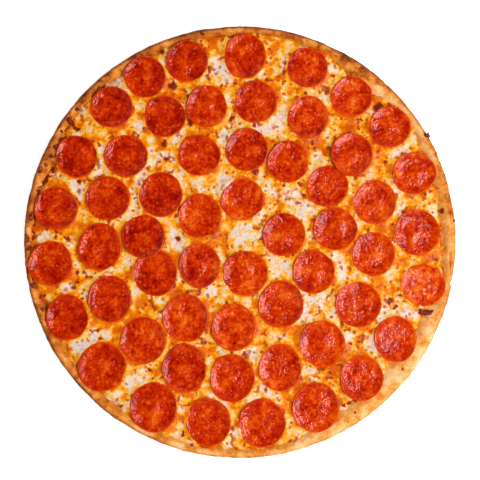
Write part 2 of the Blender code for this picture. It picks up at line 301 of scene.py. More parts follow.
crust_angles = np.arange(CRUST_POINTS) * 360 / CRUST_POINTS
crest_insets = crest_inset(crust_angles)
crest_heights = crest_height(crust_angles)
slope_widths = rim_width(crust_angles) + SLOPE_FOOT - crest_insets
all_round = np.ones(CRUST_POINTS)
section = []
for inset in np.linspace(INNERMOST_INSET, UNDERSIDE_INSET, UNDERSIDE_STEPS, endpoint=False):
    section.append((inset * all_round, 0 * all_round))
for turn in np.linspace(0, math.pi / 2, LOWER_SIDE_STEPS):
    inset = UNDERSIDE_INSET * (1 - math.sin(turn))
    section.append((inset * all_round, WIDEST_HEIGHT * (1 - math.cos(turn)) * all_round))
for turn in np.linspace(0, math.pi / 2, UPPER_SIDE_STEPS)[1:]:
    height = WIDEST_HEIGHT + (crest_heights - WIDEST_HEIGHT) * math.sin(turn)
    section.append((crest_insets * (1 - math.cos(turn)), height))
for share in np.linspace(0, 1, SLOPE_STEPS)[1:]:
    inset = crest_insets + slope_widths * share
    section.append((inset, crust_height(inset, crust_angles)))
insets, section_heights = np.array(section).transpose(1, 0, 2)
turns = np.radians(crust_angles)
from_middle = RADIUS - insets
crust_grid = np.stack([from_middle * np.cos(turns), from_middle * np.sin(turns), section_heights], axis=2)
print(f"crust grid of {crust_grid.shape[0]} rings")

# %% [markdown]
# ## Lumps, blisters and the crease
#
# Baked dough is swollen by gas: broad lumps, then bubbles of a few millimetres, some of them burst.
# Bubbles can fall anywhere, so they are drawn at random. The crease at the right is placed at given
# points: a lip of dough lies beside the rim there and ends in a notch.

# %% Move the crust's points along their normals
CREASE_START = np.array([172.0, -9.0]) * MM
CREASE_END = np.array([174.2, -33.5]) * MM
NOTCH = CREASE_END * 1.006
BUBBLES = 260

crust_places = crust_grid.reshape(-1, 3)
rim_share = np.clip(crust_grid[:, :, 2] / (3 * MM), 0, 1).reshape(-1)
lift = MM * relief(crust_places, (0.45, 11, 11), (0.28, 5, 12), (0.15, 2.4, 13), (0.07, 1.3, 14))

draw = np.random.default_rng(7)
for _ in range(BUBBLES):
    turn = draw.uniform(0, 2 * math.pi)
    inset = draw.uniform(0.5, 1 + 0.8 * rim_width(math.degrees(turn)) / MM) * MM
    size = draw.uniform(0.9, 2.4) * MM
    away = away_from(crust_places, (RADIUS - inset) * math.cos(turn), (RADIUS - inset) * math.sin(turn))
    lift += draw.uniform(-0.25, 0.5) * MM * bell(away, 0, size)

crease_line = CREASE_END - CREASE_START
crease_share = (crust_places[:, :2] - CREASE_START) @ crease_line / (crease_line @ crease_line)
nearest = CREASE_START + np.clip(crease_share, 0, 1)[:, None] * crease_line
crease = bell(away_from(crust_places, *nearest.T), 0, 1.1 * MM) * (crust_places[:, 2] > WIDEST_HEIGHT)
lift -= 1.5 * MM * crease
lift -= 1.6 * MM * bell(away_from(crust_places, *NOTCH), 0, 1.5 * MM)

crust_normals = grid_normals(crust_grid).reshape(-1, 3)
crust_places = crust_places + crust_normals * (lift * rim_share)[:, None]
crust_places[:, 2] = np.maximum(crust_places[:, 2], 0)
print(f"crust relief from {lift.min() / MM:.2f} to {lift.max() / MM:.2f} mm")

# %% [markdown]
# ## Where the crust is toasted
#
# Heat came unevenly: the upper left half of the rim is brown, the right is golden, and the lower right is
# pale, each turning into the next within a hand's breadth. The inner slope at the upper right faces away
# from the key light and is painted paler: painted light. The steep outer side and the rim's outer edge are
# browner, and on the upper left, away from the key light, painted shade darkens them further. The tops of
# lumps and the pits of burst bubbles are browner too. One number at each point holds all of that, from 0
# for pale dough toward 1 for dark brown, and the material turns it into colour. A cap keeps the outer side
# from going black.

# %% Browning numbers for the crust
BROWNEST_SIDE = math.radians(140)
GOLDEN_SIDE = math.radians(18)
PAINTED_LIGHT_INNER_SIDE = math.radians(34)
ROSE_PLACE = np.array([171.0, -53.0]) * MM
DARKEST = 0.86

crust_turns = np.arctan2(crust_places[:, 1], crust_places[:, 0])
toward_brown = ease(np.cos(crust_turns - BROWNEST_SIDE), -0.45, 0.35)
# The side away from the key light, where the outer side is browner and also darkened by painted shade
outer_brown_and_shade = ease(np.cos(crust_turns - BROWNEST_SIDE), -0.85, 0.25)
inner_share = np.clip((insets / rim_width(crust_angles)[None, :]).reshape(-1), 0, 1.5)
steepness = (1 - np.clip(crust_normals[:, 2], 0, 1)) ** 1.5
underneath = crust_normals[:, 2] < -0.3
pits = ease(relief(crust_places, (1, 3.4, 25), (0.5, 1.8, 26)), 0.45, 0.85)
# Steep outer sides are browner; away from the key light they are darkened more, partly browning, partly
# painted shade
toast = 0.16 + 0.28 * toward_brown + (0.40 + 0.44 * outer_brown_and_shade) * steepness
golden_side = ease(np.cos(crust_turns - GOLDEN_SIDE), 0.62, 0.95)
toast += 0.22 * golden_side * (1 - 0.7 * ease(inner_share, 0.25, 0.8))
# Painted light: the inner slope at the upper right, which faces away from the key light, is made paler
toast -= 0.34 * bell(crust_turns, PAINTED_LIGHT_INNER_SIDE, 0.3) * ease(inner_share, 0.3, 0.8)
# The outer edge away from the key light is darkened, partly browning and partly painted shade
toast += 0.22 * outer_brown_and_shade * (1 - ease(inner_share, 0.0, 0.5))
toast += relief(crust_places, (0.18, 16, 21), (0.26, 6, 22))
toast += 0.14 * np.clip(lift / (0.6 * MM), -1, 1) + (0.10 + 0.20 * toward_brown) * pits
toast = np.where(underneath, 0.40 + 0.3 * hills(crust_places, 28 * MM, 24), toast)

oily = ease(inner_share, 0.50, 1.0) * (0.75 + 0.4 * hills(crust_places, 8 * MM, 23)) * ~underneath
rose = np.maximum(0.8 * bell(away_from(crust_places, *ROSE_PLACE), 0, 9 * MM), crease)
crust_marks = {"toast": np.clip(toast, 0, DARKEST), "oily": np.clip(oily, 0, 1), "rose": rose}
crust = make_piece(
    "baked_crust", crust_places, ring_faces(len(insets), CRUST_POINTS), ["crust"], crust_marks
)
print(f"crust: {len(crust_places)} points, browning {toast.mean():.2f} on average")

# %% [markdown]
# ## Where the slices lie
#
# Each slice's solid tells its own place: the middle of its lowest ring of points, the axis in which
# it is thinnest, and how long it is along its other two directions. Reading that from the solids
# means that a slice here can't drift from its solid.

# %% Read the pose of every slice from its solid
class SlicePlace:
    """Middle of a slice's underside, its axes as the columns of a turn, and its sizes."""

    def __init__(self, node):
        points = np.array([vertex.co for vertex in node.data.vertices])
        points = np.unique(np.round(points, 6), axis=0)
        middle = points.mean(axis=0)
        axis = np.linalg.svd(points - middle)[2][2]
        axis = axis * np.sign(axis[2])
        self.turn = np.array(Vector((0, 0, 1)).rotation_difference(Vector(axis)).to_matrix())
        levels = (points - middle) @ axis
        foot = points[levels < levels.min() + 0.2 * MM]
        self.middle = (foot.min(axis=0) + foot.max(axis=0)) / 2
        local = (foot - self.middle) @ self.turn
        self.half_x = np.abs(local[:, 0]).max()
        self.half_y = np.abs(local[:, 1]).max()
        self.crest = levels.max() - levels.min()


slice_places = [SlicePlace(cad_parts[name]) for name in SLICE_NAMES]
half_sizes = [place.half_x for place in slice_places]
print(f"slices {2 * min(half_sizes) / MM:.1f} to {2 * max(half_sizes) / MM:.1f} mm across")

# %% [markdown]
# ## The cheese's grid
#
# The cheese is a height field: one height for each place on a disc. A plain polar grid would crowd
# its points in the middle, so ring number n gets 6n points, which keeps every triangle about a
# millimetre long. The last ring dips into the dough, so the cheese has a rounded, wandering edge.

# %% Points and triangles of a disc with even spacing
CHEESE_RINGS = 172
CHEESE_LAP = 0.8 * MM
# Middle and spread, in degrees, of the side where the cheese has crisped
CRISP_SIDE = 165
CRISP_SPREAD = 48


def disc_triangles(ring_count):
    """Six equal sectors, in which each ring has one more step than the ring inside it."""
    faces = []
    for ring in range(1, ring_count + 1):
        outer = 1 + 3 * ring * (ring - 1)
        inner = 1 + 3 * (ring - 1) * (ring - 2)
        here = np.arange(6 * ring)
        after = (here + 1) % (6 * ring)
        sector, step = np.divmod(here, ring)
        below = (sector * (ring - 1) + step) % max(6 * (ring - 1), 1)
        if ring == 1:
            faces += np.stack([np.zeros_like(here), outer + here, outer + after], axis=1).tolist()
            continue
        faces += np.stack([inner + below, outer + here, outer + after], axis=1).tolist()
        inside = step < ring - 1
        beside = (below[inside] + 1) % (6 * (ring - 1))
        faces += np.stack([inner + below[inside], outer + after[inside], inner + beside], axis=1).tolist()
    return faces


ring_sizes = np.maximum(6 * np.arange(CHEESE_RINGS + 1), 1)
ring_numbers = np.repeat(np.arange(CHEESE_RINGS + 1), ring_sizes)
ring_steps = np.concatenate([np.arange(size) for size in ring_sizes])
cheese_angles = 360 * ring_steps / ring_sizes[ring_numbers]
cheese_turns = np.radians(cheese_angles)
unit_edge = np.stack([np.cos(cheese_turns), np.sin(cheese_turns), np.zeros(len(cheese_turns))], axis=1)
crisp_side = bell((cheese_angles - CRISP_SIDE + 180) % 360 - 180, 0, CRISP_SPREAD)
wander = 2.4 * MM * hills(unit_edge * RADIUS, 9 * MM, 31)
wander += (1.0 + 1.6 * crisp_side) * MM * hills(unit_edge * RADIUS, 3.5 * MM, 32)
edge_insets = rim_width(cheese_angles) + wander - CHEESE_LAP
distances = (RADIUS - edge_insets) * ring_numbers / CHEESE_RINGS
cheese_places = unit_edge * distances[:, None]
print(f"cheese grid of {len(cheese_places)} points")

# %% [markdown]
# ## How far each bit of cheese is from a slice
#
# Almost everything about the cheese depends on how near it is to a slice: oil has run out around
# each one and stained it orange, and the cheese stands up a little against its side. So the distance
# to the nearest slice is worked out once and used for both shape and colour.

# %% Distance from every point to the nearest slice
from_slice = np.full(len(cheese_places), 1.0)
for place in slice_places:
    across = cheese_places[:, 0] - place.middle[0]
    along = cheese_places[:, 1] - place.middle[1]
    oval = np.hypot(across / place.half_x, along / place.half_y)
    from_slice = np.minimum(from_slice, (oval - 1) * (place.half_x + place.half_y) / 2)
covered = (from_slice < 0).mean()
print(f"slices cover {100 * covered:.0f} % of the cheese")

# %% [markdown]
# ## Places that the photograph shows
#
# Noise alone gives cheese, but not this cheese. The larger white pools, golden patches and browned
# blisters are therefore listed one by one, in millimetres from the pizza's middle, and noise fills in
# between them.

# %% White pools, golden patches and browned blisters
# Each row: x, y and reach in mm, and strength
WHITE_POOLS = (
    (-103.5, 133.5, 8, 1), (-80.5, 113.5, 5, 0.7), (-126, 105, 6, 0.9), (-9, 139, 7, 0.8),
    (-53.5, 84.5, 7, 1), (-58, 71.5, 6, 0.9), (29, 93.5, 10, 1), (23, 45, 11, 1),
    (42, 40, 7, 0.9), (14, 22, 7, 0.8), (67.5, 67, 6, 0.9), (132, 77, 8, 1),
    (-92, 20, 7, 1), (-84, 30, 6, 0.8), (-33, 47, 5, 0.8), (-12.5, 47, 7, 0.8),
    (-102.5, -26, 8, 0.9), (-164, 4, 5, 0.9), (-143.5, -39, 6, 0.7), (-85, -43, 6, 0.7),
    (124, -103, 9, 0.9), (109, -82, 7, 0.9), (58.5, -107, 7, 0.9), (53, -61.5, 7, 0.9),
    (122, -27, 8, 0.9), (82.5, -27, 6, 0.7), (-131.5, -85, 8, 0.9), (-91, -110, 7, 0.8),
    (-62.5, 172, 6, 0.8), (-48, -133, 6, 0.7), (4, -128, 7, 0.8), (142, 87, 5, 0.8),
    (74.5, 143, 4, 0.9),
)
GOLDEN_PATCHES = (
    (66, 84, 9, 1), (91, 97, 9, 0.8), (33, 121.5, 9, 0.9), (121.5, 68, 9, 1),
    (119.5, 57.5, 8, 0.9), (91, 33, 8, 0.8), (125, 10, 8, 0.7), (-123.5, -24, 9, 0.9),
    (-130, -31, 7, 0.8), (-80.5, -48.5, 8, 0.8), (95, -77.5, 7, 0.9), (74.5, -106, 7, 0.9),
    (64, -60.5, 8, 0.7), (47, -117.5, 8, 0.8), (-119, 88, 8, 0.8), (-22, 137, 9, 0.8),
    (-16, 157, 7, 0.9), (28, 134, 8, 0.8), (-58, -18, 7, 0.7), (48, -75, 8, 0.8),
    (-148, 45, 8, 0.9), (75, 131, 7, 0.8), (-52, -42, 8, 0.7), (18, -82, 7, 0.8),
)
BROWN_BLISTERS = (
    (-54.5, 128, 3.4, 1), (-54.5, 121, 1.6, 0.7), (-62.5, 80.5, 3, 0.9), (-60, 67.5, 2.4, 0.6),
    (-40.5, 97.5, 3, 0.9), (-24, 143, 2.2, 0.6), (-64, 156.5, 2.4, 0.8), (-4, 131, 2.6, 0.7),
    (-5.5, 102.5, 2.4, 0.8), (-15, 87.5, 2.4, 0.4), (-72.5, 75, 1.6, 0.6), (28, 94, 1.5, 0.6),
    (59.5, 81, 2.6, 0.8), (72.5, 77, 2.4, 0.8), (26.5, 39, 1.7, 0.6), (37.5, 35, 1.6, 0.7),
    (113, 110.5, 4.6, 1), (119.5, 66, 2, 0.8), (113.5, 74.5, 1.9, 0.7), (133, 72.5, 1.8, 0.7),
    (-141, 2.5, 2.4, 0.8), (-50.5, 2, 2.2, 0.6), (-128, -24.5, 1.8, 0.8), (-133, -24.5, 1.6, 0.7),
    (-136, -36, 2.6, 0.7), (-77.5, -51, 1.8, 0.7), (-132, 41.5, 2.2, 0.7),
    (-131.5, 49, 1.8, 0.8),
    (124.5, -48, 2.4, 0.8), (128.5, -52.5, 1.8, 1), (152, -57.5, 4.5, 0.8), (65.5, -57, 2.6, 0.5),
    (94, -74, 1.8, 0.7), (91, -84, 1.6, 0.7), (74, -107, 2.4, 0.7), (90, -132.5, 2.6, 0.5),
    (-99.5, -135, 2.2, 0.6), (-10, -173, 2.2, 0.8), (-6, -152.5, 2.6, 0.7),
    (-47, -159, 2.2, 0.6),
    (80.5, 147, 2.6, 0.6), (-132, 92.5, 1.6, 0.9), (-160, 52, 2.2, 0.6), (36.5, 138.5, 2, 0.5),
)
white = spots(cheese_places, WHITE_POOLS)
golden = spots(cheese_places, GOLDEN_PATCHES)
brown = spots(cheese_places, BROWN_BLISTERS)
print(f"{len(WHITE_POOLS)} pools, {len(GOLDEN_PATCHES)} patches and {len(BROWN_BLISTERS)} blisters")

# %% [markdown]
# ## The cheese's height
#
# From the edge inward the layer rises quickly to its full thickness, as a thick liquid would. On top
# come broad waves, smaller lumps, smooth swellings where the white pools are, and domes where it has
# blistered. Under the slices the field is lowered, so that it never shows through them.

# %% Height of every point of the cheese
CHEESE_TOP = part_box("cheese")[0][2] + 3.6 * MM
EDGE_THICKNESS = 0.5 * MM
EDGE_SINK = 0.4 * MM
LIP_WIDTH = 3 * MM
SHOULDER_WIDTH = 8 * MM
BANK_HEIGHT = 1.8 * MM
POCKET_DEPTH = 1.6 * MM

insets_here = RADIUS - distances
depth = insets_here - edge_insets
ground = crust_height(insets_here, cheese_angles)
edge_top = crust_height(rim_width(cheese_angles), cheese_angles) + EDGE_THICKNESS
shoulder = np.sin(np.clip(depth / SHOULDER_WIDTH, 0, 1) * math.pi / 2)
level = edge_top + (CHEESE_TOP - edge_top) * shoulder
lip = 1 - (1 - np.clip(depth / LIP_WIDTH, 0, 1)) ** 2
heights = (ground - EDGE_SINK) + (level - ground + EDGE_SINK) * lip

flat = np.array(cheese_places)
waves = np.array([noise.noise(Vector(place) / (21 * MM)) for place in flat]) * 0.8 * MM
waves += MM * relief(flat, (0.40, 9, 41), (0.28, 4.6, 42), (0.17, 2.3, 43))
waves += 0.40 * MM * white + 0.50 * MM * np.clip(brown, 0, 1)
waves += 0.55 * MM * crisp_side * fading(depth, 9 * MM) * hills(flat, 2.6 * MM, 44)
waves += BANK_HEIGHT * fading(np.abs(from_slice - 0.4 * MM), 2.6 * MM)
heights += waves * np.clip(depth / (6 * MM), 0.25, 1)
heights -= POCKET_DEPTH * ease(-from_slice, 1.1 * MM, 2.9 * MM)
cheese_places[:, 2] = heights
print(f"cheese top from {heights.min() / MM:.1f} to {heights.max() / MM:.1f} mm")

# %% [markdown]
# ## How the cheese is stained
#
# The cheese runs from white through cream and yellow to orange. It is one scale, so one number is
# enough: low in the white pools, higher in the golden patches and highest right beside a slice.
# Toasted places are a second number, which the material lays over the first. At the left rim the
# cheese has crisped, so both are raised there.

# %% Stain and toast numbers for the cheese
halo = fading(from_slice, 1.8 * MM)
mottle = relief(flat, (0.30, 13, 51), (0.30, 6, 52), (0.10, 3, 53))
stain = 0.385 + mottle + 0.26 * golden - 0.46 * white + 0.34 * halo
crisp = crisp_side * fading(depth, 10 * MM)
stain = np.clip(stain + 0.14 * crisp + 0.06 * fading(depth, 5 * MM), 0, 1)

small_brown = ease(relief(flat, (1, 3.6, 54), (0.5, 2.2, 55)), 0.42, 0.85)
browned = np.clip(brown, 0, 1) + 0.60 * small_brown * (1 - 0.5 * white)
browned += 0.85 * crisp * ease(relief(flat, (1, 4.2, 56), (0.5, 2, 58)), -0.25, 0.6)
browned = np.clip(browned, 0, 1)
wet = np.clip(0.25 + 0.5 * halo + 0.4 * hills(flat, 10 * MM, 57), 0, 1)
cheese_marks = {"stain": stain, "browned": browned, "wet": wet}
print(f"stain {stain.mean():.2f} and browning {browned.mean():.2f} on average")

# %% [markdown]
# ## Closing the cheese
#
# A height field is only a sheet. A ring under its edge and a flat face that joins it turn the sheet
# into a body, so that it also works as a solid of its own.

# %% Join the cheese's top to a flat underside
FLOOR_SHARE = 0.965
FLOOR_HEIGHT = DOUGH_THICKNESS - 0.3 * MM

edge_count = 6 * CHEESE_RINGS
last_ring = len(cheese_places) - edge_count
first_floor = len(cheese_places)
floor_ring = cheese_places[last_ring:] * FLOOR_SHARE
floor_ring[:, 2] = FLOOR_HEIGHT
cheese_faces = disc_triangles(CHEESE_RINGS)
step = np.arange(edge_count)
after = (step + 1) % edge_count
cheese_faces += np.stack(
    [last_ring + after, last_ring + step, first_floor + step, first_floor + after], axis=1
).tolist()
cheese_faces.append(tuple(range(first_floor + edge_count - 1, first_floor - 1, -1)))
cheese_points = np.concatenate([cheese_places, floor_ring])
cheese_marks = {
    mark: np.concatenate([values, values[last_ring:]]) for mark, values in cheese_marks.items()
}
cheese = make_piece("melted_cheese", cheese_points, cheese_faces, ["cheese"], cheese_marks)
print(f"cheese: {len(cheese_faces)} faces")

# %% [markdown]
# ## The pepperoni slices
#
# In the oven a slice curls into a shallow cup: it climbs right up to its edge, fat gathers in the
# middle, and the meat swells and shrinks into bulges and dimples. Each slice is a stack of rings like
# the crust, in its own axes, and gets its own draw of curl, bulge and lean, so that no two are alike.
# One mesh shared by all of them would be lighter, but repeats show at once on a pizza.

# %% Height of a slice's top
SLICE_THICKNESS = 1.5 * MM
CREST_SHARE = 0.995
EDGE_DROP = 0.2 * MM


def slice_top(place, shares, turns, draw):
    """Height above the slice's underside at each share of its half size, for all turns round it."""
    curl = (place.crest - SLICE_THICKNESS) * draw.uniform(1.2, 1.9)
    swing = 0.30 * np.cos(turns - draw.uniform(0, 6.28)) + 0.20 * np.cos(2 * turns - draw.uniform(0, 6.28))
    start = draw.uniform(0.52, 0.68)
    climb = np.clip((shares - start) / (CREST_SHARE - start), 0, 1)
    up = climb ** 2 * (2 - climb) * curl * (1 + swing)
    drop = EDGE_DROP * np.clip((shares - CREST_SHARE) / (1 - CREST_SHARE), 0, 1) ** 2
    bulge_side, bulge_reach = draw.uniform(0, 6.28), draw.uniform(0, 0.3)
    x = shares * np.cos(turns) - bulge_reach * math.cos(bulge_side)
    y = shares * np.sin(turns) - bulge_reach * math.sin(bulge_side)
    bulge = draw.uniform(-0.9, 1.3) * MM * bell(np.hypot(x, y), 0, draw.uniform(0.22, 0.42))
    return SLICE_THICKNESS + up - drop + bulge


print("slice_top ready")

# %% [markdown]
# The rings run from the underside round the edge and inward over the top. Bumps of two to seven
# millimetres come from the same random hills as everywhere else, taken at the slice's place on the
# pizza, and they are lower at the smooth casing edge.

# %% Build every slice
SLICE_POINTS = 84
SIDE_RINGS = ((0.90, 0.0), (0.985, 0.1 * MM), (1.0, 0.6 * MM))
TOP_SHARES = np.concatenate([np.linspace(0.04, 0.60, 11), np.linspace(0.64, 1.0, 15)])[::-1]
# The way, as x and y, toward the key light, in which the slices are painted lighter from one side of
# the pizza to the other: painted light
PAINTED_LIGHT_WAY = np.array([0.85, -0.53])


def make_slice(name, place, number):
    draw = np.random.default_rng(100 + number)
    turns = np.arange(SLICE_POINTS) * 2 * math.pi / SLICE_POINTS
    lean = draw.uniform(0, 6.28)
    edge = 1 + 0.014 * np.cos(2 * turns + lean) + 0.012 * np.cos(3 * turns - lean)
    edge += 0.008 * np.cos(5 * turns + 2 * lean) + 0.005 * np.cos(9 * turns - 3 * lean)
    shares = np.concatenate([[share for share, _ in SIDE_RINGS], TOP_SHARES])[:, None]
    sides = [np.full(SLICE_POINTS, height) for _, height in SIDE_RINGS]
    heights = np.concatenate([sides, slice_top(place, TOP_SHARES[:, None], turns[None, :], draw)])
    x = shares * edge * place.half_x * np.cos(turns)
    y = shares * edge * place.half_y * np.sin(turns)
    world = np.stack([x, y, heights], axis=2).reshape(-1, 3) @ place.turn.T + place.middle
    bumps = MM * relief(world, (0.34, 6.5, 61), (0.16, 3, 62), (0.08, 1.7, 63))
    on_top = np.arange(len(shares))[:, None] >= len(SIDE_RINGS)
    reach = np.repeat(shares, SLICE_POINTS, axis=1).reshape(-1)
    calm = np.repeat(on_top * (1 - 0.6 * ease(shares, 0.90, 0.985)), SLICE_POINTS, axis=1).reshape(-1)
    world[:, 2] += bumps * calm
    # Painted light: slices toward the key light get a lighter tone, on top of a random tone of their own
    lighter = PAINTED_LIGHT_WAY @ place.middle[:2] / RADIUS
    marks = {
        "reach": reach,
        "tone": np.full(len(world), 0.8 * lighter + draw.uniform(-0.4, 0.4)),
        # Painted shade: the dips between bumps are darker and the tops lighter
        "hollow": np.clip(-bumps / (0.4 * MM), -1, 1) * calm,
    }
    faces = ring_faces(len(shares), SLICE_POINTS)
    return make_piece(name.replace("pepperoni", "slice"), world, faces, [name], marks)


slices = [make_slice(name, slice_places[i], i) for i, name in enumerate(SLICE_NAMES)]
print(f"{len(slices)} slices of {len(slices[0].data.vertices)} points each")

# %% [markdown]
# ## Charred bits and bits of sauce
#
# Along the left rim cheese has boiled over, burnt and set into small dark beads, and a few bubbles
# of the rim are charred too. Here and there a red lump of sauce looks out of the cheese. They are
# a few millimetres high, so each is real: a small cluster of squashed balls with random hills, half
# sunk in what lies below them. All lumps of a kind are one mesh.

# %% Places of the lumps
# Each row: x, y and radius in mm
CHARRED_BITS = (
    (-139.6, 99.7, 3.2), (-133.5, 109, 1.8), (-131.8, 92.5, 1), (-146.3, 90.9, 1.6),
    (-147.2, 84.3, 2.3), (-151.2, 78.6, 1.8), (-154.1, 69.8, 1.5), (-159.1, 63.4, 1.7),
    (-163.2, 58.2, 1.9), (-115.3, 126, 2), (-119.8, 121.5, 1.8), (-171.2, 20.9, 2.8),
    (-174.4, 4.1, 2.8), (-172.4, -5, 2), (-169.4, -35.8, 2.8), (-162.7, -44.4, 1.6),
    (-162.3, -55.1, 1.5), (-157.4, -61.7, 1.5), (153.4, 87.6, 2.2), (165.6, 26.5, 2.2),
    (176, 17.5, 1.1), (133.6, -104.5, 1), (94.5, -140, 1), (148.4, -57, 2.4),
    (153.5, -58.6, 2.9), (157.2, -57.4, 2), (-30.5, 171.4, 2),
)
SAUCE_BITS = (
    (13.3, 57.9, 2.8), (49.5, 48, 2.4), (52.8, 38.1, 1.7), (71, 122.2, 1.7), (96.5, 100.7, 1.4),
    (99.8, 100.7, 1.3), (94.9, 52.1, 1.5), (11.6, 95.8, 1.7), (36.2, 139.9, 1.7), (-5.9, -153.2, 1.5),
    (-38.7, -166.4, 1.5), (85.8, -134.2, 1.6), (90.8, -131.7, 1.8), (94.9, -130.1, 1.6),
)
print(f"{len(CHARRED_BITS)} charred bits and {len(SAUCE_BITS)} bits of sauce")

# %% Build lumps on whatever lies below them
LUMP_TURNS = 14
LUMP_LEVELS = 8
BALLS_PER_LUMP = 5
LUMP_SINK = 0.05
top_points = np.concatenate([crust_places[crust_normals[:, 2] > 0.1], cheese_places])


def ground_at(x, y):
    """Height of the pizza's top near a place."""
    away = away_from(top_points, x, y)
    near = top_points[away < 1.5 * MM]
    return near[:, 2].max() if len(near) else top_points[away.argmin(), 2]


def make_lumps(name, rows, flatness, seed):
    turns = np.arange(LUMP_TURNS) * 2 * math.pi / LUMP_TURNS
    levels = np.linspace(-0.96, 0.96, LUMP_LEVELS)
    ring = np.sqrt(1 - levels ** 2)[:, None]
    sides = np.broadcast_arrays(ring * np.cos(turns), ring * np.sin(turns), levels[:, None])
    ball = np.stack(sides, axis=2).reshape(-1, 3)
    points, faces = [], []
    draw = np.random.default_rng(seed)
    for number in range(len(rows) * BALLS_PER_LUMP):
        x, y, radius = (value * MM for value in rows[number // BALLS_PER_LUMP])
        size = radius * draw.uniform(0.45, 0.72)
        aside, turn = radius * draw.uniform(0.1, 0.75), draw.uniform(0, 2 * math.pi)
        x, y = x + aside * math.cos(turn), y + aside * math.sin(turn)
        long, across = draw.uniform(1.0, 1.3), draw.uniform(0, math.pi)
        swell = 1 + 0.36 * hills(ball + number * 7.3, 0.8, seed)
        swell += 0.22 * hills(ball + number * 3.1, 0.4, seed)
        lump = ball * swell[:, None] * np.array([long, 1 / long, flatness]) * size
        lump = lump @ np.array(Matrix.Rotation(across, 3, "Z"))
        lump += np.array([x, y, ground_at(x, y) - LUMP_SINK * size])
        faces += ring_faces(LUMP_LEVELS, LUMP_TURNS, first=number * len(ball))
        points.append(lump)
    return make_piece(name, np.concatenate(points), faces, [], {})


charred_bits = make_lumps("charred_bits", CHARRED_BITS, 0.60, 71)
sauce_bits = make_lumps("sauce_bits", SAUCE_BITS, 0.60, 72)
print("lumps are in place")

# %% [markdown]
# ## Shader maths in plain Python
#
# A material is a graph of nodes, and sums in it take one Math node each. Wrapping a socket in a
# small class lets the sums be written as ordinary expressions, with the nodes added behind them. All
# other nodes come from one method, which sets a node's own settings first and then its sockets.
#
# Colours are written as they should look in the picture. The light is set a fifth above plain
# exposure, so that the pale floor comes out white, and every colour is darkened by as much.

# %% A signal that adds its own Math nodes
class Signal:
    """One output of a shader node, which can be used in sums with numbers and other signals."""

    def __init__(self, graph, socket):
        self.graph = graph
        self.socket = socket

    def maths(self, operation, *values):
        return self.graph.node("Math", {"operation": operation}, dict(enumerate(values)))

    def __add__(self, other):
        return self.maths("ADD", self, other)

    def __radd__(self, other):
        return self.maths("ADD", other, self)

    def __sub__(self, other):
        return self.maths("SUBTRACT", self, other)

    def __rsub__(self, other):
        return self.maths("SUBTRACT", other, self)

    def __mul__(self, other):
        return self.maths("MULTIPLY", self, other)

    def __rmul__(self, other):
        return self.maths("MULTIPLY", other, self)


class Graph:
    """A tree of shader nodes, with one way to add any node, named without its ShaderNode."""

    def __init__(self, tree):
        self.tree = tree

    def feed(self, socket, value):
        if isinstance(value, Signal):
            self.tree.links.new(value.socket, socket)
        elif isinstance(value, tuple) and socket.type == "RGBA":
            socket.default_value = (*value, 1.0)
        else:
            socket.default_value = value

    def node(self, kind, settings=None, inputs=None, output=0):
        made = self.tree.nodes.new("ShaderNode" + kind)
        for setting, value in (settings or {}).items():
            if setting == "stops":
                self.set_stops(made.color_ramp, value)
            else:
                setattr(made, setting, value)
        for key, value in (inputs or {}).items():
            self.feed(made.inputs[key], value)
        return Signal(self, made.outputs[output])

    def set_stops(self, ramp, stops):
        """Stops are (position, colour) pairs in order; a new ramp has two of them already."""
        while len(ramp.elements) < len(stops):
            ramp.elements.new(1.0)
        for element, (position, colour) in zip(ramp.elements, stops):
            element.position = position
            element.color = (*colour, 1.0)


class Finish(Graph):
    """A material in the making, with constants set on its shader's own sockets."""

    def __init__(self, name, constants):
        self.material = bpy.data.materials.new(name)
        self.material.use_nodes = True
        super().__init__(self.material.node_tree)
        self.shader = self.tree.nodes["Principled BSDF"]
        for socket, value in constants.items():
            self.feed(self.shader.inputs[socket], value)

    def show(self, **signals):
        """Feeds signals to the shader, with a socket's spaces written as underscores."""
        for name, signal in signals.items():
            self.feed(self.shader.inputs[name.replace("_", " ")], signal)


LIGHT_SURPLUS = 1.22


def paint(red, green, blue):
    """The surface that comes out as this colour, 0 to 255, under the studio's light."""
    shares = [value / 255 for value in (red, green, blue)]
    linear = [s / 12.92 if s <= 0.04045 else ((s + 0.055) / 1.055) ** 2.4 for s in shares]
    return tuple(value / LIGHT_SURPLUS for value in linear)


print(f"a paint value of 200 is {paint(200, 0, 0)[0]:.3f} in linear light")

# %% [markdown]
# ## Nodes that every finish uses
#
# A few small functions cover most of what follows: random mottling, random dots, and a soft
# threshold that turns either of them into a mask. Nothing in food has straight or round borders, so
# dots are looked up at places that another noise has stirred a little.

# %% Mottling, dots, masks and colour mixing
def place_of(finish):
    return finish.node("TexCoord", output="Object")


def stirred(finish, length, reach):
    """Places moved about by noise of this length, at most about half of the reach."""
    inputs = {"Vector": place_of(finish), "Scale": 1 / length}
    swirl = finish.node("TexNoise", {}, inputs, "Color")
    inputs = {0: swirl, 1: (reach, reach, reach), 2: place_of(finish)}
    return finish.node("VectorMath", {"operation": "MULTIPLY_ADD"}, inputs, "Vector")


def mottling(finish, length, detail=3.0, roughness=0.6, places=None):
    """Noise with features about this long, from about -1 to 1 and mostly within half of that."""
    inputs = {"Vector": places or place_of(finish), "Scale": 1 / length, "Detail": detail}
    inputs["Roughness"] = roughness
    return (finish.node("TexNoise", {}, inputs, "Fac") - 0.5) * 3.0


def mask(signal, low, high):
    """0 at low and 1 at high, eased; low may be the larger, for a mask that falls."""
    inputs = {"Value": signal, "From Min": low, "From Max": high}
    return signal.graph.node("MapRange", {"interpolation_type": "SMOOTHSTEP"}, inputs, "Result")


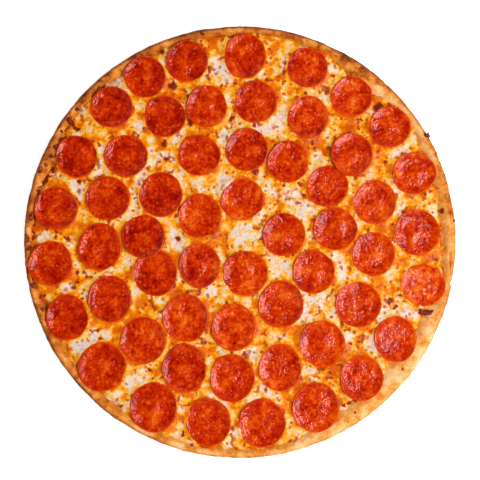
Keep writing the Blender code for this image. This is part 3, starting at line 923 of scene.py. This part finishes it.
def dots(finish, spacing, size, share):
    """Uneven dots on a random grid of this spacing; only this share of the grid's cells has one."""
    inputs = {"Vector": stirred(finish, spacing, 0.5 * spacing), "Scale": 1 / spacing}
    distance = finish.node("TexVoronoi", {}, inputs, "Distance")
    colour = finish.node("TexVoronoi", {}, inputs, "Color")
    chosen = finish.node("SeparateColor", {}, {"Color": colour}, "Red")
    reach = size / spacing
    return mask(distance, reach, 0.4 * reach) * mask(chosen, share, share - 0.06)


def mixed(finish, share, under, over):
    """A colour that goes from one to another as the share goes from 0 to 1."""
    return finish.node("Mix", {"data_type": "RGBA"}, {0: share, 6: under, 7: over}, 2)


def coated(finish, colour, *coats):
    """The colour under a row of coats, each given as its share and its paint, the lowest first."""
    for share, over in coats:
        colour = mixed(finish, share, colour, paint(*over))
    return colour


def carried(finish, mark):
    return finish.node("Attribute", {"attribute_name": mark}, {}, "Fac")


def ramp(finish, signal, stops):
    stops = tuple((position, paint(*colour)) for position, colour in stops)
    return finish.node("ValToRGB", {"stops": stops}, {"Fac": signal}, "Color")


def bumped(finish, height, depth):
    """A Normal that follows this height, in which 1 stands for the depth in metres."""
    return finish.node("Bump", {}, {"Height": height, "Strength": 1.0, "Distance": depth})


print("shader helpers ready")

# %% [markdown]
# ## The crust's finish
#
# Baked dough is matt, with a skin that browns from cream through gold to dark brown. A ramp holds
# those colours in order, and the crust's browning number picks the place on it, with fine mottling
# added so that it never looks like one coat. The orange tint of the oil that has crept out of the
# cheese goes over it.

# %% Material of the crust
finish = Finish("crust_finish", {"Specular IOR Level": 0.06})
skin = mottling(finish, 5 * MM, 4.0)
grain = mottling(finish, 1.6 * MM)
browning = carried(finish, "toast") + skin * 0.28 + grain * 0.19
colour = ramp(finish, browning, (
    (0.00, (252, 206, 146)),
    (0.14, (248, 182, 104)),
    (0.30, (236, 152, 66)),
    (0.46, (216, 122, 42)),
    (0.62, (180, 84, 26)),
    (0.80, (132, 54, 16)),
    (1.00, (78, 36, 14)),
))
glaze = carried(finish, "oily") * 0.8 + 0.25
glaze = glaze * mask(mottling(finish, 6 * MM), -0.4, 0.3)
coats = (
    (glaze * 0.7, (242, 150, 44)),
    (carried(finish, "rose") * 0.45, (176, 84, 58)),
    (dots(finish, 3.2 * MM, 0.9 * MM, 0.45) * 0.4, (170, 88, 36)),
)
finish.show(
    Base_Color=coated(finish, colour, *coats),
    Roughness=0.55 - carried(finish, "oily") * 0.18 + grain * 0.08,
    Normal=bumped(finish, grain * 0.12 + skin * 0.4, 0.3 * MM),
)
crust.data.materials.append(finish.material)
print(f"crust finish of {len(finish.tree.nodes)} nodes")

# %% [markdown]
# ## The cheese's finish
#
# Melted cheese is a ramp too, from the white of a fresh pool to the deep orange of oil-soaked
# cheese. Oil has also drawn thin lines between the shreds it was strewn as: they lie where a slow
# noise passes through zero. Over that come browned blisters, freckles and crumbs that the oven has
# caught, and specks of dried herb. Oil makes it shiny where it is stained most.

# %% Material of the cheese
finish = Finish(
    "cheese_finish",
    {"Specular IOR Level": 0.09, "Subsurface Weight": 0.10, "Subsurface Scale": 1.2 * MM},
)
blots = mottling(finish, 5 * MM, 3.0, 0.55, stirred(finish, 7 * MM, 5 * MM))
fine = mottling(finish, 1.9 * MM, 2.0)
stained = carried(finish, "stain") + blots * 0.52 + fine * 0.13
colour = ramp(finish, stained, (
    (0.00, (234, 216, 206)),
    (0.12, (244, 221, 194)),
    (0.26, (250, 208, 146)),
    (0.39, (253, 189, 80)),
    (0.52, (255, 172, 14)),
    (0.68, (240, 120, 0)),
    (1.00, (212, 82, 0)),
))
shred_noise = mottling(finish, 8 * MM, 3.0, 0.6, stirred(finish, 6 * MM, 4 * MM))
shreds = mask(shred_noise.maths("ABSOLUTE", shred_noise), 0.11, 0.02)
freckles = dots(finish, 4.6 * MM, 2.2 * MM, 0.46)
crumbs = dots(finish, 5.2 * MM, 1.9 * MM, 0.50)
specks = dots(finish, 3.8 * MM, 0.62 * MM, 0.35)
toasting = carried(finish, "browned") + fine * 0.28 + blots * 0.1
coats = (
    (shreds * 0.5, (238, 138, 20)),
    (freckles * 0.6, (228, 112, 10)),
    (crumbs * 0.8, (182, 56, 2)),
    (mask(toasting, 0.14, 0.42) * 0.75, (210, 84, 4)),
    (mask(toasting, 0.38, 0.75), (128, 38, 2)),
    (specks * 0.5, (146, 84, 18)),
)
finish.show(
    Base_Color=coated(finish, colour, *coats),
    Roughness=0.42 - carried(finish, "wet") * 0.18 + fine * 0.06,
    Normal=bumped(finish, blots * 0.5 + fine * 0.12 + freckles * 0.2, 0.3 * MM),
)
cheese.data.materials.append(finish.material)
print(f"cheese finish of {len(finish.tree.nodes)} nodes")

# %% [markdown]
# ## The pepperoni's finish
#
# Pepperoni is minced meat, so its colour is a fine mixture: red lean, maroon patches and little
# grains of orange fat. The casing edge is a smoother, more orange band. Light goes a little way into
# the meat, which keeps its thin edge from looking dark. Oil lies on all of it, so it is glossy, and
# fine bumps break its highlights into the glints of the photograph.

# %% Material of the pepperoni
finish = Finish(
    "pepperoni_finish",
    {"Specular IOR Level": 0.15, "Subsurface Weight": 0.15, "Subsurface Scale": 1.5 * MM},
)
reach = carried(finish, "reach")
inside = mask(reach, 0.98, 0.90)
patches = mottling(finish, 14 * MM, 1.0) + mottling(finish, 6 * MM, 1.0)
mince = mottling(finish, 2.4 * MM, 3.0, 0.55)
dimples = mottling(finish, 2.1 * MM, 1.0, 0.5)
shade = 0.51 + patches * 0.25 + mince * 0.36 * inside + mask(reach, 0.55, 0.1) * 0.09
# Painted light and shade: slices toward the key light are lighter, and the dips between bumps darker
shade = shade + carried(finish, "tone") * 0.14 - carried(finish, "hollow") * 0.18
colour = ramp(finish, shade, (
    (0.00, (122, 6, 0)),
    (0.25, (168, 20, 0)),
    (0.50, (202, 42, 0)),
    (0.75, (228, 76, 6)),
    (1.00, (246, 122, 32)),
))
fat = dots(finish, 3.4 * MM, 1.4 * MM, 0.4)
dark_bits = dots(finish, 4.6 * MM, 1.7 * MM, 0.35)
coats = (
    (fat * inside * 0.4, (240, 116, 40)),
    (dark_bits * inside * 0.5, (124, 10, 4)),
    (mask(reach, 0.92, 1.0) * 0.6, (228, 84, 12)),
)
finish.show(
    Base_Color=coated(finish, colour, *coats),
    Roughness=0.14 + mince * 0.06,
    Normal=bumped(finish, dimples * (inside * 0.8 + 0.2), 0.15 * MM),
)
for piece in slices:
    piece.data.materials.append(finish.material)
print(f"pepperoni finish of {len(finish.tree.nodes)} nodes")

# %% [markdown]
# ## Finishes of the lumps
#
# Char is a dark maroon brown with little shine, and sauce is a deep, glossy red. Both are mottled a
# little by noise, which also varies them from lump to lump.

# %% Materials of the charred bits and the bits of sauce
# Each row: lumps, name, sheen, length of the mottling, its mask, dark and light paint, roughness
LUMP_FINISHES = (
    (charred_bits, "char_finish", 0.14, 2.5 * MM, (-0.3, 0.6), (104, 24, 4), (172, 68, 20), 0.34),
    (sauce_bits, "sauce_finish", 0.35, 2.2 * MM, (-0.4, 0.5), (150, 16, 8), (206, 54, 18), 0.28),
)
for lumps, name, sheen, length, limits, dark, light, roughness in LUMP_FINISHES:
    finish = Finish(name, {"Specular IOR Level": sheen})
    colour = mixed(finish, mask(mottling(finish, length), *limits), paint(*dark), paint(*light))
    finish.show(Base_Color=colour, Roughness=roughness + mottling(finish, 1.2 * MM) * 0.1)
    lumps.data.materials.append(finish.material)
print(f"{len(LUMP_FINISHES)} finishes for the lumps")

# %% [markdown]
# ## Floor and light
#
# The photograph shows the pizza on plain white without a shadow, so the floor is a pale matt sheet
# that glows faintly, like a light table. A large soft light stands to the right, a little below the
# middle: it lights the pale side of the rim, leaves the upper left browner, and puts a highlight on
# the far inner slope of each cupped slice.

# %% Stage and key light
FLOOR_REACH = 8.0
FLOOR_GAP = 0.05 * MM
FLOOR_GLOW = 0.78
floor_mesh = bpy.data.meshes.new("floor")
corners = [(x * FLOOR_REACH, y * FLOOR_REACH, 0) for x, y in ((-1, -1), (1, -1), (1, 1), (-1, 1))]
floor_mesh.from_pydata(corners, [], [(0, 1, 2, 3)])
floor = bpy.data.objects.new("floor", floor_mesh)
floor.location.z = -FLOOR_GAP
bpy.context.scene.collection.objects.link(floor)
floor_look = {"Base Color": (0.6, 0.6, 0.6), "Roughness": 0.9}
floor_look |= {"Emission Color": (1.0, 1.0, 1.0), "Emission Strength": FLOOR_GLOW}
floor_finish = Finish("floor_finish", floor_look)
floor_mesh.materials.append(floor_finish.material)

KEY_AZIMUTH = math.radians(-17)
KEY_ELEVATION = math.radians(58)
KEY_DISTANCE = 1.9
KEY_SIZE = 0.8
KEY_POWER = 39.5

key_data = bpy.data.lights.new("key_light", "AREA")
key_data.shape = "SQUARE"
key_data.size = KEY_SIZE
key_data.energy = KEY_POWER
key_light = bpy.data.objects.new("key_light", key_data)
toward_key = Vector((
    math.cos(KEY_ELEVATION) * math.cos(KEY_AZIMUTH),
    math.cos(KEY_ELEVATION) * math.sin(KEY_AZIMUTH),
    math.sin(KEY_ELEVATION),
))
key_light.location = KEY_DISTANCE * toward_key
key_light.rotation_euler = toward_key.to_track_quat("Z", "Y").to_euler()
bpy.context.scene.collection.objects.link(key_light)
print(f"key light at {tuple(round(value, 2) for value in key_light.location)}")

# %% [markdown]
# ## Sky
#
# An even sky would mirror in every flat oily place and veil its colour with white. A studio has a
# dark ceiling above the camera and pale walls around, so the sky here is dim at the top and bright
# toward the horizon: flat places stay deep in colour, and only slopes shine.

# %% A sky that is dim at the top
WALL_STRENGTH = 0.62
CEILING_STRENGTH = 0.05

world = bpy.data.worlds.new("studio_sky")
world.use_nodes = True
sky = Graph(world.node_tree)
direction = sky.node("TexCoord", output="Generated")
upward = sky.node("SeparateXYZ", {}, {"Vector": direction}, "Z")
strength = mask(upward, 0.90, 0.62) * (WALL_STRENGTH - CEILING_STRENGTH) + CEILING_STRENGTH
background = world.node_tree.nodes["Background"]
background.inputs["Color"].default_value = (1.0, 0.985, 0.96, 1.0)
sky.feed(background.inputs["Strength"], strength)
bpy.context.scene.world = world
bpy.context.scene.view_settings.view_transform = "Standard"
print("sky is in place")
